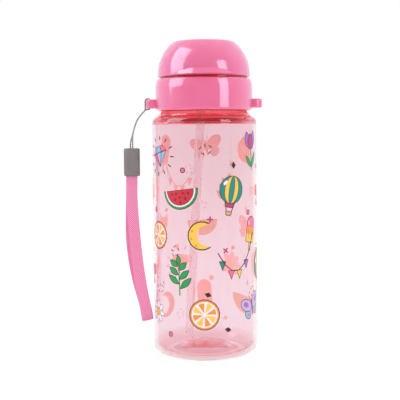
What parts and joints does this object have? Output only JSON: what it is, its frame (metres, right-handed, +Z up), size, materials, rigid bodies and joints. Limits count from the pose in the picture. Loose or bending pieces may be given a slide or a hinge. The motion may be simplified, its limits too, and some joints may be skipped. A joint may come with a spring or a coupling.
{
  "type": "kids water bottle",
  "caption": "Child's translucent drinking bottle with screw collar, flip-up dome over a soft straw spout, two strap lugs and a corded wrist strap.",
  "frame": {"origin": "centre of the foot that the bottle stands on", "axes": "+Z up along the bottle; -Y towards the thumb lip at the front, +Y towards the lid hinge; the wrist strap hangs from the lug at -X"},
  "size_m": [0.0882, 0.066, 0.1985],
  "materials": {
    "tinted_clear": "gloss",
    "silicone": "satin",
    "straw": "gloss",
    "lid_pink": "gloss",
    "steel": "satin",
    "cord_grey": "matte",
    "ferrule_grey": "matte",
    "webbing_pink": "matte"
  },
  "bodies": {
    "bottle": {"bottle_body": "tinted_clear"},
    "mouth_seal": {"mouth_gasket": "silicone"},
    "spout_and_straw": {"drinking_spout": "silicone", "straw": "straw"},
    "screw_cap": {"screw_collar": "lid_pink", "vent_valve": "silicone", "hinge_pin": "steel", "lanyard_hitch": "cord_grey"},
    "dome": {"dome_lid": "lid_pink", "spout_stopper": "silicone"},
    "lanyard": {"lanyard_cord": "cord_grey", "lanyard_ferrule": "ferrule_grey", "lanyard_webbing": "webbing_pink"}
  },
  "joints": [
    {"name": "cap_lift_off", "type": "slide", "parent": "bottle", "child": "mouth_seal", "axis": [0, 0, 1], "range_m": [0, 0.19]},
    {"name": "cap_rise", "type": "slide", "parent": "mouth_seal", "child": "spout_and_straw", "axis": [0, 0, 1], "range_m": [0, 0.0075]},
    {"name": "cap_turn", "type": "hinge", "parent": "spout_and_straw", "child": "screw_cap", "pos_m": [0, 0, 0.165], "axis": [0, 0, 1], "range_deg": [0, 540]},
    {"name": "dome_hinge", "type": "hinge", "parent": "screw_cap", "child": "dome", "pos_m": [0, 0.0302, 0.1752], "axis": [-1, 0, 0], "range_deg": [0, 140]},
    {"name": "lanyard_swing", "type": "hinge", "parent": "screw_cap", "child": "lanyard", "pos_m": [-0.0382, 0, 0.1545], "axis": [0, 1, 0], "range_deg": [0, 60]}
  ],
  "couplings": [
    {"joint": "cap_rise", "follows": "cap_turn", "m_per_rad": 0.00079577}
  ]
}
